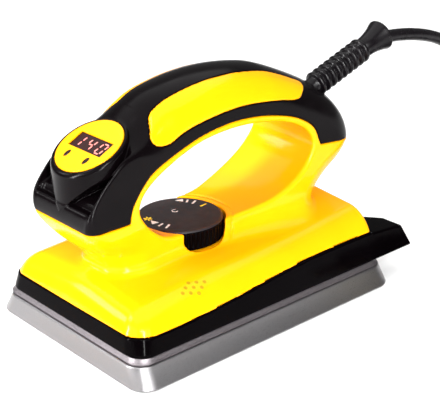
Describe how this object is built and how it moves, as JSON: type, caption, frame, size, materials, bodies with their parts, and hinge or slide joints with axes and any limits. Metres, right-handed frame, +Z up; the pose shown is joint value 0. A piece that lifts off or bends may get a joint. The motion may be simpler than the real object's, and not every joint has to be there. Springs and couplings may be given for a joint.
{
  "type": "ski waxing iron",
  "caption": "Electric ski waxing iron with a flat aluminium sole, loop handle, digital display, temperature dial, ribbed strain relief and coiled mains lead.",
  "frame": {"origin": "middle of the sole plate's flat bottom face", "axes": "+X along the iron from the nose with the display to the heel with the mains lead, +Y across it, +Z up from the sole to the handle"},
  "size_m": [0.3359, 0.1569, 0.108],
  "materials": {
    "aluminium": "satin, machined",
    "steel": "satin",
    "mineral_felt": "fibrous",
    "black_gloss": "gloss",
    "yellow_gloss": "gloss",
    "black_satin": "satin",
    "window_tint": "smoked red",
    "lens_dark": "gloss",
    "circuit_board": "satin",
    "dial_black": "fine grain",
    "component_plastic": "matte",
    "terminal_plastic": "matte",
    "brass": "satin",
    "wire_insulation": "satin",
    "relief_rubber": "satin",
    "cord_rubber": "satin",
    "tie_fabric": "hook and loop",
    "plug_rubber": "satin",
    "plated_brass": "polished"
  },
  "bodies": {
    "iron": {"sole_plate": "aluminium", "heating_element": "steel", "insulation_pad": "mineral_felt", "heat_shield": "steel", "thermal_fuse": "steel", "temperature_sensor": "steel", "base_frame": "black_gloss", "upper_shell": "yellow_gloss", "left_inlay": "yellow_gloss", "right_inlay": "yellow_gloss", "handle_cover": "black_satin", "display_face": "yellow_gloss", "display_window": "window_tint", "indicator_lenses": "lens_dark", "display_module": "black_gloss", "display_board": "circuit_board", "potentiometer": "steel", "potentiometer_nut": "steel", "control_board": "circuit_board", "board_screws": "steel", "board_components": "component_plastic", "terminal_block": "terminal_plastic", "terminal_screws": "brass", "mains_wires": "wire_insulation", "heater_wires": "wire_insulation", "display_lead": "wire_insulation", "sole_screws": "steel", "shell_screws": "steel", "strain_relief": "relief_rubber", "cord": "cord_rubber", "cord_coil": "cord_rubber", "cord_end": "cord_rubber", "cord_tie": "tie_fabric", "plug_body": "plug_rubber", "plug_pins": "plated_brass"},
    "dial": {"temperature_dial": "dial_black", "dial_shaft": "steel"}
  },
  "joints": [
    {"name": "temperature_dial_turn", "type": "hinge", "parent": "iron", "child": "dial", "pos_m": [-0.0115, 0, 0.038], "axis": [0, 0, 1], "range_deg": [-150, 150]}
  ]
}
